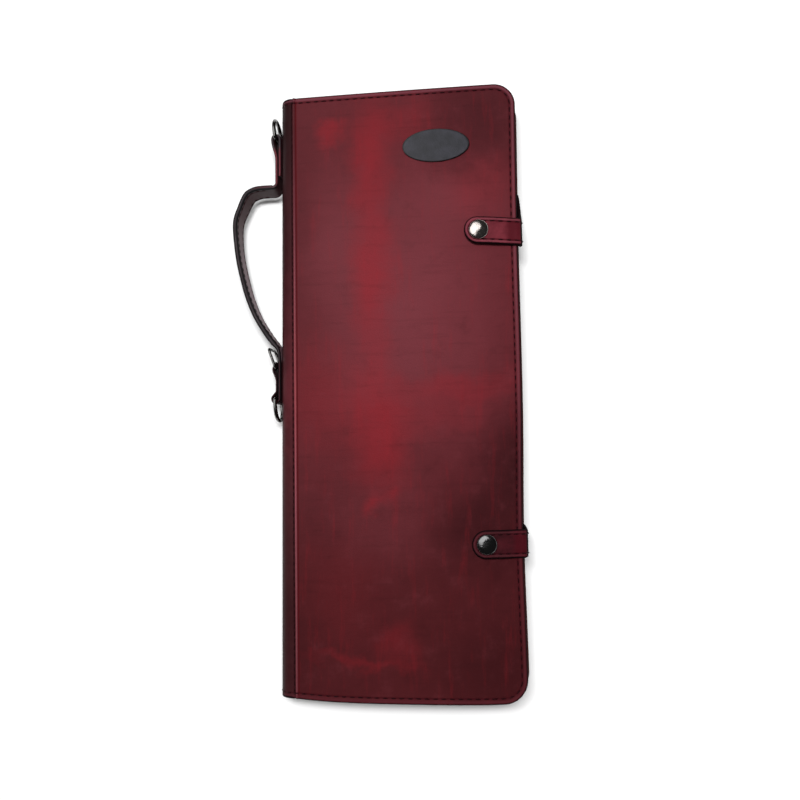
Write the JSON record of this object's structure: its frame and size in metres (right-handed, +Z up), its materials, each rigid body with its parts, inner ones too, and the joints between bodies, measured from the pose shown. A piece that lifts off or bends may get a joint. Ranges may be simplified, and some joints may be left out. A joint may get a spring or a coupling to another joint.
{
  "type": "drumstick bag",
  "caption": "Book-like leather folio for drumsticks, lying closed on its back cover, with two snap tabs on the open edge, a bowed strap handle and D-rings on the spine.",
  "frame": {"origin": "middle of the back cover's flat underside", "axes": "+Z up from the back cover to the front cover, +Y along the spine to the top end, spine and handle at -X"},
  "size_m": [0.2273, 0.4621, 0.044],
  "materials": {
    "cover_leather": "oxblood pull-up leather, waxed, semi-matt, lighter where it is bent or rubbed",
    "strap_leather": "dark oxblood leather with black burnished edges",
    "patch_leather": "black matt leather",
    "nickel": "dark polished nickel"
  },
  "bodies": {
    "bag": {"cover": "cover_leather", "tab_upper": "cover_leather", "tab_lower": "cover_leather", "cap_upper": "nickel", "cap_lower": "nickel", "stud_upper": "nickel", "stud_lower": "nickel", "patch": "patch_leather", "handle": "strap_leather", "rivet_upper": "nickel", "rivet_lower": "nickel"},
    "ring_upper": {"ring_upper": "nickel"},
    "ring_lower": {"ring_lower": "nickel"},
    "link": {"link": "nickel"}
  },
  "joints": [
    {"name": "ring_upper_swing", "type": "hinge", "parent": "bag", "child": "ring_upper", "pos_m": [-0.10244, 0.2017, 0.017], "axis": [0, 0, 1], "range_deg": [-9, 130]},
    {"name": "ring_lower_swing", "type": "hinge", "parent": "bag", "child": "ring_lower", "pos_m": [-0.10347, -0.0042, 0.017], "axis": [0, 0, -1], "range_deg": [-3, 125]},
    {"name": "link_swing", "type": "hinge", "parent": "bag", "child": "link", "pos_m": [-0.10295, 0.0191, 0.017], "axis": [0, 0, 1], "range_deg": [0, 95]}
  ]
}
